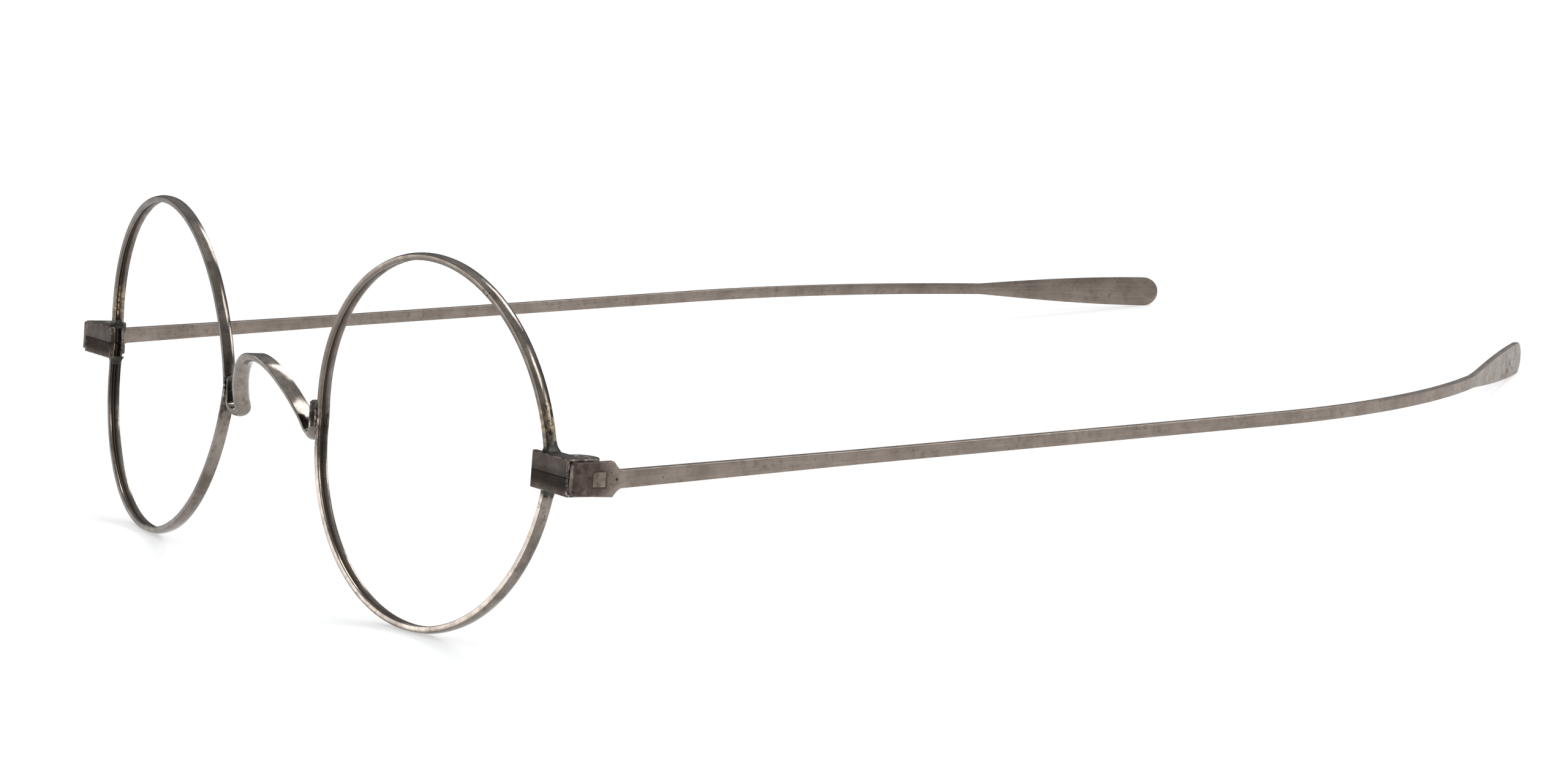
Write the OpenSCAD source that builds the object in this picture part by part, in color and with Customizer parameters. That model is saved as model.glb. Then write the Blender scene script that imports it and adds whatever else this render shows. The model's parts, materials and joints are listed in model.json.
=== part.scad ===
// Wire-rim spectacles: two grooved eye wires, a half-round wire bridge, split end pieces
// closed by hinge screws, and straight side arms with flat paddle ends that fold inward.
// X runs from side to side, Y from front to back and Z up, in millimetres.
// The frame stands on the bottoms of its rims and the tips of its side arms.

/* [Eye wires] */
// Diameter at the bottom of the lens groove
seat_d = 38; // [34:0.5:41]
// Distance between the centres of the two rims
rim_spacing = 58.9; // [57:0.1:66]
// Width of the eye wire from front to back
wire_w = 1.3; // [1.1:0.05:1.6]
// Metal left between the groove and the outer face
wire_back = 0.37; // [0.3:0.01:0.6]
// Depth of the lens groove
groove_depth = 0.38; // [0.25:0.01:0.5]
// Width of the lens groove at its mouth
groove_w = 0.8; // [0.5:0.05:0.9]
// Rise of the rounded outer face
wire_crown = 0.15; // [0.05:0.01:0.25]
// Angle that each rim turns back towards its hinge
rim_wrap = 7; // [0:0.5:10]
// Angle that each half of a rim is sprung forward out of flat
rim_bend = 4.6; // [0:0.1:6]
// Angle that the whole front leans back
front_lean = 10; // [4:0.5:14]

/* [Bridge] */
// Width of the bridge wire from front to back
bridge_w = 1.85; // [1.3:0.05:2.2]
// Thickness of the bridge wire
bridge_t = 0.95; // [0.7:0.05:1.2]
// Radius of the curl at each foot of the bridge
curl_r = 1.24; // [0.8:0.01:1.3]
// Height of the arch above its curls
arch_rise = 5.9; // [4:0.01:9]
// Distance that the arch stands forward of its curls
arch_reach = 2.5; // [0.5:0.1:4]
// Height of the curls' centres above the middle of the rims
curl_z = -1.16; // [-3:0.01:1]
// Length of each foot where it lies against the rim
foot_l = 2.7; // [1.5:0.1:4]
// Gap between a foot and its rim, filled by the braze
braze_gap = 0.03; // [0.02:0.01:0.06]

/* [End pieces] */
// Height of an end piece, both halves together
end_h = 3.7; // [3.4:0.1:5]
// Thickness of the plate in front of the eye wire
face_t = 0.9; // [0.6:0.05:1.4]
// Distance that an end piece stands out past its rim
end_reach = 5.1; // [4.5:0.1:6]
// Distance that the front plate laps over the eye wire
end_lap = 1.65; // [0.9:0.05:2]
// Radius of the ears around the hinge screw
ear_r = 1.67; // [1.6:0.01:1.9]
// Distance from the front plate's face back to the hinge screw
hinge_back = 2.6; // [2.5:0.05:3.2]
// Gap left at the seam between the two halves
seam_gap = 0.08; // [0.04:0.01:0.16]
// Height of the seam above the middle of the rims
seam_z = 0.2; // [-0.3:0.05:0.5]

/* [Hinges] */
// Diameter of the hinge screw's shank
screw_d = 1.1; // [0.8:0.05:1.2]
// Diameter of the hinge screw's head
screw_head_d = 1.8; // [1.6:0.05:2.2]
// Depth of the hinge screw's head
screw_head_h = 0.42; // [0.3:0.02:0.55]
// Width of the slot in the screw's head
slot_w = 0.24; // [0.15:0.01:0.35]
// Depth of the slot in the screw's head
slot_depth = 0.22; // [0.1:0.01:0.28]
// Clearance of a fixed screw in its ears
screw_fit = 0.02; // [0.01:0.01:0.04]
// Running clearance of the knuckle on the screw
knuckle_fit = 0.04; // [0.02:0.01:0.08]
// Radius of the knuckle
knuckle_r = 1.15; // [1.05:0.01:1.25]
// Height of the knuckle
knuckle_h = 1.5; // [1.2:0.05:1.8]
// Gap around the knuckle in its pocket
pocket_fit = 0.1; // [0.06:0.01:0.12]
// Gap above and below the knuckle in its pocket
knuckle_play = 0.03; // [0.02:0.01:0.08]
// Distance that the knuckle's arm reaches in front of the screw
tenon_front = 0.35; // [0.2:0.05:0.6]
// Clearance of the tenon in the butt plate, filled by the braze
tenon_fit = 0.02; // [0.01:0.01:0.04]

/* [Side arms] */
// Thickness of a side arm and its butt plate
arm_t = 0.9; // [0.7:0.05:1.2]
// Height of the butt plate at its shoulders
butt_h = 3.5; // [3.2:0.1:4.5]
// Height of the butt plate at its front end
butt_front_h = 3.2; // [2.8:0.1:4.5]
// Length of the butt plate before its shoulders
butt_l = 4.55; // [4.2:0.05:6]
// Length of the shoulders
shoulder_l = 0.9; // [0.5:0.05:2]
// Radius of the butt plate's front corner
butt_round = 0.5; // [0.2:0.05:0.6]
// Running gap between the butt plate and the end piece
butt_gap = 0.08; // [0.05:0.01:0.1]
// Distance that the butt plate starts behind the front face
butt_set = 0.1; // [0:0.05:0.4]
// Height of the arm where it leaves the butt plate
bar_h_front = 1.8; // [1.4:0.05:2.4]
// Height of the arm along its length
bar_h = 1.45; // [1.1:0.05:2]
// Length over which the arm narrows to that height
bar_taper_l = 28; // [10:1:50]
// Length of the straight run of the arm
straight_l = 84; // [70:1:100]
// Radius of the curve towards the ear
ear_bend_r = 85; // [60:1:120]
// Angle of the curve towards the ear
ear_bend = 32; // [20:1:42]
// Length of the flat end that follows the curve
flat_l = 21; // [12:0.5:22]
// Length of the paddle
paddle_l = 25; // [23:0.5:30]
// Height of the paddle
paddle_h = 3.9; // [3:0.1:5]
// Thickness of the paddle
paddle_t = 0.7; // [0.5:0.05:0.9]
// Outward angle of each arm
arm_splay = 1.4; // [0:0.1:3]

/* [Hidden] */
$fn = 48;

// Cuts run this far past the faces that they open
past = 1;

// The eye wire: radii of the groove's bottom, of the lips and of the outer face
seat_r = seat_d / 2;
lip_r = seat_r - groove_depth;
outer_r = seat_r + wire_back;
mid_r = (lip_r + outer_r) / 2;
crown_steps = 3;
groove_floor = 0.2;

// Section of the eye wire: distance from the ring's axis, then distance behind its plane
wire_section = concat(
    [for (i = [-crown_steps:crown_steps])
        [outer_r - wire_crown * pow(i / crown_steps, 2), i / crown_steps * wire_w / 2]],
    [[lip_r, wire_w / 2], [lip_r, groove_w / 2], [seat_r, groove_w * groove_floor / 2],
     [seat_r, -groove_w * groove_floor / 2], [lip_r, -groove_w / 2], [lip_r, -wire_w / 2]]);

// Height of the rim centres above the surface, from the lowest point of a leaning rim
low_side = sin(rim_wrap) * sin(front_lean);
low_down = cos(rim_bend) * cos(front_lean) - sin(rim_bend) * cos(rim_wrap) * sin(front_lean);
low_back = cos(rim_bend) * cos(rim_wrap) * sin(front_lean) + sin(rim_bend) * cos(front_lean);
rim_z = max([for (p = wire_section) p[0] * norm([low_side, low_down]) + p[1] * low_back]);

// Most forward point of a leaning rim
fore_side = sin(rim_wrap) * cos(front_lean);
fore_down = sin(rim_bend) * cos(rim_wrap) * cos(front_lean) + cos(rim_bend) * sin(front_lean);
fore_back = cos(rim_bend) * cos(rim_wrap) * cos(front_lean) - sin(rim_bend) * sin(front_lean);
front_y = min([for (p = wire_section) p[1] * fore_back - p[0] * norm([fore_side, fore_down])]);

// Where the rims' outer faces lie beside the nose and beside the hinges
rim_x = rim_spacing / 2;
nasal_x = rim_x - outer_r * cos(rim_wrap);
hinge_side_x = rim_x + outer_r * cos(rim_wrap);
hinge_side_y = mid_r * sin(rim_wrap);

// The end piece and the hinge screw's axis, in the front's own leaning frame
wire_gap = 0.03;
face_y = hinge_side_y - wire_w / 2 * cos(rim_wrap) - face_t;
end_x = hinge_side_x + end_reach;
end_in_x = hinge_side_x - end_lap;
body_back_y = hinge_side_y + wire_w / 2;
hinge_x = end_x - ear_r;
hinge_y = face_y + hinge_back;
end_half_h = end_h / 2;
pocket_half_h = knuckle_h / 2 + knuckle_play;

// The side arm starts behind the shoulders of its butt plate
arm_x = end_x + butt_gap + arm_t / 2;
butt_y = face_y + butt_set;
bar_y = butt_y + butt_l + shoulder_l;
tenon_w = tenon_front + knuckle_r;

// Heading of the flat end, and where the middle of its rounded tip lies along the arm
heading = ear_bend - arm_splay;
tip_r = paddle_h / 2;
tip_run = flat_l - tip_r;
arc_side = ear_bend_r * (1 - cos(ear_bend)) + tip_run * sin(ear_bend);
arc_along = straight_l + ear_bend_r * sin(ear_bend) + tip_run * cos(ear_bend);
tip_along = arc_along * cos(arm_splay) + arc_side * sin(arm_splay);

// The arm slopes down until its paddle meets the surface
bar_start_z = rim_z - bar_y * sin(front_lean) + seam_z * cos(front_lean);
arm_drop = asin((bar_start_z - tip_r) / tip_along);

// Most backward point, at the outer edge of the rounded tip
back_y = bar_y * cos(front_lean) + seam_z * sin(front_lean) + tip_along * cos(arm_drop)
    + tip_r * norm([cos(heading) * cos(arm_drop), sin(arm_drop)])
    + paddle_t / 2 * sin(heading) * cos(arm_drop);
middle_y = (front_y + back_y) / 2;

// The bridge wire's own sizes
foot_x = nasal_x - braze_gap - bridge_t / 2;
arch_x = foot_x - 2 * curl_r;
foot_y = -hinge_side_y;
arch_power = 1.63;
section_steps = 10;
section_fullness = 0.75;
arch_steps = 26;
curl_steps = 10;
foot_steps = 3;

// Places a piece of the front in the leaning frame at the rims' height
module in_front() {
    translate([0, -middle_y, rim_z])
        rotate([-front_lean, 0, 0])
            children();
}

// Mirrors a left piece, on the wearer's left at +X, to the right
module on_side(left) {
    mirror([left ? 0 : 1, 0, 0])
        children();
}

// A ring of a given section about one rim's centre, upper or lower half, past both ends
module half_ring(upper, section, extra) {
    translate([rim_x, 0, 0])
        rotate([0, 0, rim_wrap])
            mirror([0, 0, upper ? 0 : 1])
                rotate([rim_bend, 0, 0])
                    rotate([90, 0, 0])
                        rotate([0, 0, -extra[0]])
                            rotate_extrude(angle = 180 + extra[0] + extra[1], $fn = 120)
                                polygon([for (p = section) [p[0], -p[1]]]);
}

// Half of an eye wire, cut level beside the nose and just clear of the seam beside the hinge
module rim_half(upper) {
    end_lap_angle = 1;
    room = rim_spacing + seat_d;
    difference() {
        half_ring(upper, wire_section, [end_lap_angle, end_lap_angle]);
        mirror([0, 0, upper ? 0 : 1]) {
            translate([-room, -room, -room])
                cube([2 * room, 2 * room, room]);
            translate([rim_x, -room, -room])
                cube([room, 2 * room, room + seam_gap / 2]);
        }
    }
}

// The eye wire is split beside the hinge, where the end piece closes it
module rim(left) {
    in_front()
        on_side(left) {
            rim_half(true);
            rim_half(false);
        }
}

// Unit vector of a vector
function unit(v) = v / norm(v);

// One side of the bridge wire's centre line, from the middle of the arch to the top of a foot
bridge_half = concat(
    [for (i = [0:arch_steps]) let (t = 90 * (1 - i / arch_steps))
        [arch_x * cos(t), foot_y - arch_reach * pow(sin(t), arch_power),
         curl_z + arch_rise * pow(sin(t), arch_power)]],
    [for (i = [1:curl_steps]) let (t = 180 * i / curl_steps)
        [foot_x - curl_r - curl_r * cos(t),
         foot_y + arch_reach / arch_rise * curl_r * sin(t) * (1 + cos(t)) / 2,
         curl_z - curl_r * sin(t)]],
    [for (i = [1:foot_steps]) [foot_x, foot_y, curl_z + foot_l * i / foot_steps]]);
half_count = len(bridge_half);
bridge_path = [for (i = [1 - half_count:half_count - 1])
    let (p = bridge_half[abs(i)]) [sign(i) * p[0], p[1], p[2]]];

// Half-round section: across the wire, then out from its flat inner face
bridge_section = [for (i = [0:section_steps]) let (a = 180 * i / section_steps)
    [bridge_w / 2 * cos(a), bridge_t * (pow(sin(a), section_fullness) - 0.5)]];

// One ring of the swept wire, square to the path
function bridge_ring(i) = let (
    last = len(bridge_path) - 1,
    along = unit(bridge_path[min(i + 1, last)] - bridge_path[max(i - 1, 0)]),
    across = unit([0, 1, 0] - along[1] * along),
    out = cross(across, along))
    [for (p = bridge_section) bridge_path[i] + p[0] * across + p[1] * out];

// Half-round wire that rises from a foot, curls, arches over the nose and comes down again
module bridge() {
    count = len(bridge_path);
    sides = len(bridge_section);
    points = [for (i = [0:count - 1]) each bridge_ring(i)];
    skin = [for (i = [0:count - 2], j = [0:sides - 1]) let (
        a = i * sides + j,
        b = i * sides + (j + 1) % sides)
        each [[a, b, a + sides], [b, b + sides, a + sides]]];
    start_cap = [for (j = [sides - 1:-1:0]) j];
    end_cap = [for (j = [0:sides - 1]) (count - 1) * sides + j];
    color("darkgray")
        in_front()
            polyhedron(points, concat(skin, [start_cap, end_cap]), convexity = 6);
}

// Outline of an end piece from above: front plate, body and rounded ear
module end_outline() {
    translate([end_in_x, face_y])
        square([end_x - end_in_x, face_t]);
    translate([hinge_side_x - wire_w, face_y])
        square([end_x - hinge_side_x + wire_w, body_back_y - face_y]);
    translate([hinge_x - ear_r, face_y])
        square([2 * ear_r, hinge_y - face_y]);
    translate([hinge_x, hinge_y])
        circle(ear_r, $fn = 64);
}

// Room for the eye wire in the inner corner of an end piece, open at the back
module wire_notch(upper) {
    front = -wire_w / 2 - wire_gap;
    back = wire_w * 2;
    inner = lip_r - 2 * end_lap;
    outer = outer_r + wire_gap;
    half_ring(upper, [[inner, front], [outer, front], [outer, back], [inner, back]], [8, 0]);
}

// Room for the knuckle and for its arm as it swings from outward to backward
module knuckle_pocket() {
    wide = knuckle_r + pocket_fit;
    reach = ear_r + past;
    translate([hinge_x, hinge_y, -pocket_half_h]) {
        cylinder(r = wide, h = 2 * pocket_half_h);
        translate([-wide, 0, 0])
            cube([wide + reach, reach, 2 * pocket_half_h]);
        translate([0, -tenon_front - pocket_fit, 0])
            cube([reach, reach, 2 * pocket_half_h]);
    }
}

// One half of an end piece, above or below the seam
module end_piece(left, upper) {
    hole_r = screw_d / 2 + screw_fit;
    in_front()
        on_side(left)
            difference() {
                translate([0, 0, seam_z + (upper ? seam_gap / 2 : -end_half_h)])
                    linear_extrude(end_half_h - seam_gap / 2)
                        end_outline();
                wire_notch(upper);
                translate([0, 0, seam_z]) {
                    knuckle_pocket();
                    translate([hinge_x, hinge_y, -end_half_h - past])
                        cylinder(r = hole_r, h = end_h + 2 * past);
                    if (upper)
                        translate([hinge_x, hinge_y, end_half_h - screw_head_h - screw_fit])
                            cylinder(r = screw_head_d / 2 + screw_fit, h = screw_head_h + past);
                }
            }
}

// Flush slotted screw that closes the rim and carries the side arm
module hinge_screw(left) {
    in_front()
        on_side(left)
            translate([hinge_x, hinge_y, seam_z])
                difference() {
                    union() {
                        translate([0, 0, -end_half_h])
                            cylinder(d = screw_d, h = end_h - screw_head_h / 2);
                        translate([0, 0, end_half_h - screw_head_h])
                            cylinder(d = screw_head_d, h = screw_head_h);
                    }
                    translate([-screw_head_d, -slot_w / 2, end_half_h - slot_depth])
                        cube([2 * screw_head_d, slot_w, slot_depth + past]);
                }
}

// Knuckle on the screw, with the arm that ends as a tenon in the butt plate
module knuckle(left) {
    in_front()
        on_side(left)
            translate([hinge_x, hinge_y, seam_z - knuckle_h / 2])
                difference() {
                    union() {
                        cylinder(r = knuckle_r, h = knuckle_h);
                        translate([0, -tenon_front, 0])
                            cube([arm_x + arm_t / 2 - hinge_x, tenon_w, knuckle_h]);
                    }
                    translate([0, 0, -past])
                        cylinder(r = screw_d / 2 + knuckle_fit, h = knuckle_h + 2 * past);
                }
}

// Butt plate with its shoulders, rounded at the front outer corner and pierced for the tenon
module butt_plate() {
    hole_w = tenon_w + 2 * tenon_fit;
    hole_h = knuckle_h + 2 * tenon_fit;
    difference() {
        intersection() {
            translate([arm_x + arm_t / 2, 0, seam_z])
                rotate([0, -90, 0])
                    linear_extrude(arm_t)
                        polygon([[-butt_front_h / 2, butt_y], [butt_front_h / 2, butt_y],
                            [butt_h / 2, butt_y + butt_l], [bar_h_front / 2, bar_y],
                            [-bar_h_front / 2, bar_y], [-butt_h / 2, butt_y + butt_l]]);
            translate([arm_x - arm_t / 2, butt_y, seam_z - butt_h])
                linear_extrude(2 * butt_h) {
                    square([arm_t - butt_round, bar_y]);
                    translate([0, butt_round])
                        square([arm_t, bar_y]);
                    translate([arm_t - butt_round, butt_round])
                        circle(butt_round);
                }
        }
        translate([arm_x - arm_t, hinge_y - tenon_front - tenon_fit, seam_z - hole_h / 2])
            cube([2 * arm_t, hole_w, hole_h]);
    }
}

// Straight run of the arm in its own frame, which narrows behind the shoulders
module straight_run() {
    root = 0.6;
    translate([arm_t / 2, 0, 0])
        rotate([0, -90, 0])
            linear_extrude(arm_t)
                polygon([[-bar_h_front / 2, -root], [bar_h_front / 2, -root],
                    [bar_h_front / 2, 0], [bar_h / 2, bar_taper_l], [bar_h / 2, straight_l],
                    [-bar_h / 2, straight_l], [-bar_h / 2, bar_taper_l], [-bar_h_front / 2, 0]]);
}

// Band of the curve and the flat end, of a given thickness and height
module ear_band(thick, high, from_angle, flat) {
    translate([-ear_bend_r, straight_l, 0]) {
        rotate([0, 0, from_angle])
            rotate_extrude(angle = ear_bend - from_angle, $fn = 360)
                translate([ear_bend_r - thick / 2, -high / 2])
                    square([thick, high]);
        if (flat > 0)
            rotate([0, 0, ear_bend])
                translate([ear_bend_r - thick / 2, 0, -high / 2])
                    cube([thick, flat, high]);
    }
}

// Outline of the paddle seen square to its flat end, widening to a round tip
module paddle_outline() {
    steps = 12;
    widening = paddle_l - tip_r;
    edge = [for (i = [0:steps])
        [widening * i / steps, (bar_h + (paddle_h - bar_h) * sin(90 * i / steps)) / 2]];
    polygon(concat(edge, [for (i = [steps:-1:0]) [edge[i][0], -edge[i][1]]]));
    translate([widening, 0])
        circle(tip_r, $fn = 64);
}

// Flat paddle that lies behind the ear
module paddle() {
    start = (paddle_l - flat_l) / ear_bend_r * 180 / PI;
    intersection() {
        ear_band(paddle_t, paddle_h, ear_bend - start, flat_l);
        translate([-ear_bend_r, straight_l, 0])
            rotate([0, 0, ear_bend])
                translate([ear_bend_r - 2 * paddle_h, flat_l - paddle_l, 0])
                    rotate([90, 0, 90])
                        linear_extrude(4 * paddle_h)
                            paddle_outline();
    }
}

// Side arm: butt plate, straight run, curve and paddle, forged in one piece
module temple(left) {
    lap = 0.5;
    bar_end = (paddle_l - flat_l - lap) / ear_bend_r * 180 / PI;
    in_front()
        on_side(left) {
            butt_plate();
            translate([arm_x, bar_y, seam_z])
                rotate([front_lean - arm_drop, 0, 0])
                    rotate([0, 0, -arm_splay]) {
                        straight_run();
                        intersection() {
                            ear_band(arm_t, bar_h, 0, 0);
                            translate([-ear_bend_r, straight_l, 0])
                                linear_extrude(2 * bar_h, center = true)
                                    polygon([[0, 0], [2 * ear_bend_r, 0],
                                        2 * ear_bend_r * [1, tan((ear_bend - bar_end) / 2)],
                                        2 * ear_bend_r * [cos(ear_bend - bar_end),
                                            sin(ear_bend - bar_end)]]);
                        }
                        paddle();
                    }
        }
}

color("dimgray") rim(true);  // left_rim
color("dimgray") rim(false);  // right_rim
bridge();
color("dimgray") end_piece(true, true);  // left_upper_end_piece
color("dimgray") end_piece(true, false);  // left_lower_end_piece
color("dimgray") end_piece(false, true);  // right_upper_end_piece
color("dimgray") end_piece(false, false);  // right_lower_end_piece
color("gray") hinge_screw(true);  // left_hinge_screw
color("gray") hinge_screw(false);  // right_hinge_screw
color("darkgray") temple(true);  // left_temple
color("darkgray") temple(false);  // right_temple
color("gray") knuckle(true);  // left_temple_knuckle
color("gray") knuckle(false);  // right_temple_knuckle
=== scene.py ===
import json
import math

import bmesh
import bpy
from mathutils import Matrix, Vector


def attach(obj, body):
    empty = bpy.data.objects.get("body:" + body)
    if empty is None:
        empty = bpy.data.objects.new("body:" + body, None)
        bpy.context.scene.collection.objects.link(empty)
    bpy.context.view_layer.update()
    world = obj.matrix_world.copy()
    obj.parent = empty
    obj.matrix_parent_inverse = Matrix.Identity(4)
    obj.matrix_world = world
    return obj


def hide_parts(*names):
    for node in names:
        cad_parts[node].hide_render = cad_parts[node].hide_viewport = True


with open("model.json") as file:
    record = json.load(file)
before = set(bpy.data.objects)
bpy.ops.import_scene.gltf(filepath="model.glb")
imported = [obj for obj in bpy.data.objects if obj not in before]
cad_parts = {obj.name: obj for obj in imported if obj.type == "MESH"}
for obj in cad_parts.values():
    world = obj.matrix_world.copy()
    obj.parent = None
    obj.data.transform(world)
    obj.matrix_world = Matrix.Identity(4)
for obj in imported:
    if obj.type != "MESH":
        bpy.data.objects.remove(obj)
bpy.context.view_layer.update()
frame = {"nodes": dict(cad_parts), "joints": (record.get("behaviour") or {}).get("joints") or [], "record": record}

# Sizes below are in millimetres, as in the part, and meshes are made in metres
MM = 0.001

# Eye wire
SEAT_R = 19.0
LIP_R = 18.62
OUTER_R = 19.37
WIRE_W = 1.3
WIRE_CROWN = 0.15
GROOVE_W = 0.8
GROOVE_FLOOR_W = 0.16
SPLIT_GAP = 0.08
RIM_WRAP = math.radians(7)
RIM_BEND = math.radians(4.6)

# Bridge wire
BRIDGE_W = 1.85
BRIDGE_T = 0.95
CURL_R = 1.24
ARCH_RISE = 5.9
ARCH_REACH = 2.5
ARCH_POWER = 1.63
CURL_Z = -1.16
FOOT_L = 2.7
BRAZE_GAP = 0.03
BRAZE_R = 0.15

# End pieces, side arms and knuckles
END_H = 3.7
END_REACH = 5.1
END_LAP = 1.65
FACE_T = 0.9
SEAM_Z = 0.2
HINGE_BACK = 2.6
SOLDER_L = 1.0
ARM_T = 0.9
BUTT_H = 3.5
BUTT_FRONT_H = 3.2
BUTT_L = 4.55
BUTT_ROUND = 0.5
BUTT_GAP = 0.08
BUTT_SET = 0.1
SHOULDER_L = 0.9
BAR_H_FRONT = 1.8
BAR_H = 1.45
BAR_TAPER_L = 28.0
STRAIGHT_L = 84.0
EAR_BEND_R = 85.0
EAR_BEND = math.radians(32)
FLAT_L = 21.0
PADDLE_L = 25.0
PADDLE_H = 3.9
PADDLE_T = 0.7
ARM_SPLAY = math.radians(1.4)
KNUCKLE_H = 1.5
KNUCKLE_R = 1.15
TENON_FRONT = 0.35
TENON_LINE = 0.02

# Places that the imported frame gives
MOUNTS = {m["name"]: m for m in frame["record"]["mounts"]}
JOINTS = {j["name"]: j for j in frame["joints"]}
RIM_X, MIDDLE_Y, RIM_Z = (abs(v) / MM for v in MOUNTS["left_lens_seat"]["pos_m"])
HINGE_AXIS = Vector(JOINTS["left_hinge"]["axis"])
FRONT_LEAN = math.atan2(HINGE_AXIS.y, HINGE_AXIS.z)
FRONT = Matrix.Translation((0, -MIDDLE_Y, RIM_Z)) @ Matrix.Rotation(-FRONT_LEAN, 4, "X")
INTO_FRONT = FRONT.inverted()

# Places worked out from the sizes, in the front's leaning frame
MID_R = (LIP_R + OUTER_R) / 2
NASAL_X = RIM_X - OUTER_R * math.cos(RIM_WRAP)
HINGE_SIDE_X = RIM_X + OUTER_R * math.cos(RIM_WRAP)
HINGE_SIDE_Y = MID_R * math.sin(RIM_WRAP)
FACE_Y = HINGE_SIDE_Y - WIRE_W / 2 * math.cos(RIM_WRAP) - FACE_T
END_X = HINGE_SIDE_X + END_REACH
END_TOP_Z = SEAM_Z + END_H / 2
END_LOW_Z = SEAM_Z - END_H / 2
HINGE_Y = FACE_Y + HINGE_BACK
ARM_X = END_X + BUTT_GAP + ARM_T / 2
BUTT_Y = FACE_Y + BUTT_SET
BAR_Y = BUTT_Y + BUTT_L + SHOULDER_L
FOOT_X = NASAL_X - BRAZE_GAP - BRIDGE_T / 2
ARCH_X = FOOT_X - 2 * CURL_R
FOOT_Y = -HINGE_SIDE_Y

# The tenon's end shows in the butt plate
TENON_Y = HINGE_Y + (KNUCKLE_R - TENON_FRONT) / 2
TENON_HALF = Vector((0, (KNUCKLE_R + TENON_FRONT) / 2, KNUCKLE_H / 2))
TENON_MIDDLE = Vector((ARM_X, TENON_Y, SEAM_Z))

# The side arm slopes down until its tip meets the surface
TIP_R = PADDLE_H / 2
TIP_RUN = FLAT_L - TIP_R
ARM_L = BUTT_L + SHOULDER_L + STRAIGHT_L + EAR_BEND_R * EAR_BEND + FLAT_L
ARC_SIDE = EAR_BEND_R * (1 - math.cos(EAR_BEND)) + TIP_RUN * math.sin(EAR_BEND)
ARC_ALONG = STRAIGHT_L + EAR_BEND_R * math.sin(EAR_BEND) + TIP_RUN * math.cos(EAR_BEND)
TIP_ALONG = ARC_ALONG * math.cos(ARM_SPLAY) + ARC_SIDE * math.sin(ARM_SPLAY)
BAR_START_Z = RIM_Z - BAR_Y * math.sin(FRONT_LEAN) + SEAM_Z * math.cos(FRONT_LEAN)
ARM_DROP = math.asin((BAR_START_Z - TIP_R) / TIP_ALONG)

# Where wear marks sit: an angle round the left rim, and a distance along the left arm
PITS_ANGLE = math.radians(64)
PADDLE_STAIN_S = ARM_L - 8.0

# Finishes that lie over the steel, some of which also carry painted shade and painted highlight, as linear colours
DIRT_AND_SHADE = (0.062, 0.047, 0.038)
SOOT_AND_SHADE = (0.026, 0.027, 0.024)
PIT_BROWN = (0.045, 0.022, 0.014)
BRIGHT = (0.33, 0.298, 0.262)
TARNISH_AND_SHADE = (0.14, 0.116, 0.097)
BRASS = (0.46, 0.36, 0.22)
RUST = (0.10, 0.052, 0.038)
PLATE_BROWN = (0.105, 0.077, 0.066)

# Floor: its grey, and the light that it gives off where the camera or a reflection sees it
FLOOR_GREY = 0.8
FLOOR_GLOW = 0.5

# Room: brightness by height, and its tint
ROOM_STOPS = [(0.0, 0.08), (0.12, 0.16), (0.45, 0.42), (1.0, 0.72)]
ROOM_TINT = (0.96, 0.98, 1.0)

# Camera: place in millimetres from the point on the floor below the middle of the front, angles in
# radians, focal length in image pixels
CAMERA_PLACE = Vector((347.858, -179.378, 102.410))
CAMERA_YAW = 0.959295
CAMERA_PITCH = 0.217444
CAMERA_ROLL = 0.063267
CAMERA_FOCAL_PX = 6003.0
IMAGE_W_PX = 2560
SENSOR_MM = 36.0

SIDES = {"left": 1, "right": -1}


# Mesh making

def add_object(name, data):
    """A new object in the scene."""
    new = bpy.data.objects.new(name, data)
    bpy.context.scene.collection.objects.link(new)
    return new


def make_object(name, points, faces, uvs, side=1):
    """A smooth mesh object from points in the leaning frame, mirrored to the right where side is -1."""
    mesh = bpy.data.meshes.new(name)
    placed = [FRONT @ Vector((side * p[0], p[1], p[2])) * MM for p in points]
    if side < 0:
        faces = [list(reversed(f)) for f in faces]
        uvs = [list(reversed(u)) for u in uvs]
    mesh.from_pydata(placed, [], faces)
    layer = mesh.uv_layers.new(name="along")
    for corner, uv in enumerate(uv for face_uvs in uvs for uv in face_uvs):
        layer.data[corner].uv = uv
    for polygon in mesh.polygons:
        polygon.use_smooth = True
    return add_object(name, mesh)


def loft(rings):
    """Points, faces and uvs of a capped skin over rings of points; uvs are millimetres along and across."""
    count = len(rings[0])
    points = [Vector(p) for ring in rings for p in ring]
    along = [0.0]
    for a, b in zip(rings, rings[1:]):
        step = sum((q - p for p, q in zip(map(Vector, a), map(Vector, b))), Vector()) / count
        along.append(along[-1] + step.length)
    across = [0.0]
    middle = [Vector(p) for p in rings[len(rings) // 3]]
    for a, b in zip(middle, middle[1:] + middle[:1]):
        across.append(across[-1] + (b - a).length)
    faces = []
    uvs = []
    for i in range(len(rings) - 1):
        for j in range(count):
            n = (j + 1) % count
            k = i + 1
            faces.append([i * count + j, i * count + n, k * count + n, k * count + j])
            uvs.append([(along[i], across[j]), (along[i], across[j + 1]),
                        (along[k], across[j + 1]), (along[k], across[j])])
    for i, flip in ((0, True), (len(rings) - 1, False)):
        face = [i * count + j for j in range(count)]
        face_uvs = [(along[i], across[j]) for j in range(count)]
        faces.append(list(reversed(face)) if flip else face)
        uvs.append(list(reversed(face_uvs)) if flip else face_uvs)
    return outward(points, faces, uvs)


def outward(points, faces, uvs):
    """The same skin with its faces turned outward."""
    volume = 0.0
    for face in faces:
        a = points[face[0]]
        for i in range(1, len(face) - 1):
            volume += a.dot(points[face[i]].cross(points[face[i + 1]]))
    if volume > 0:
        return points, faces, uvs
    return points, [list(reversed(f)) for f in faces], [list(reversed(u)) for u in uvs]


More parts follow.
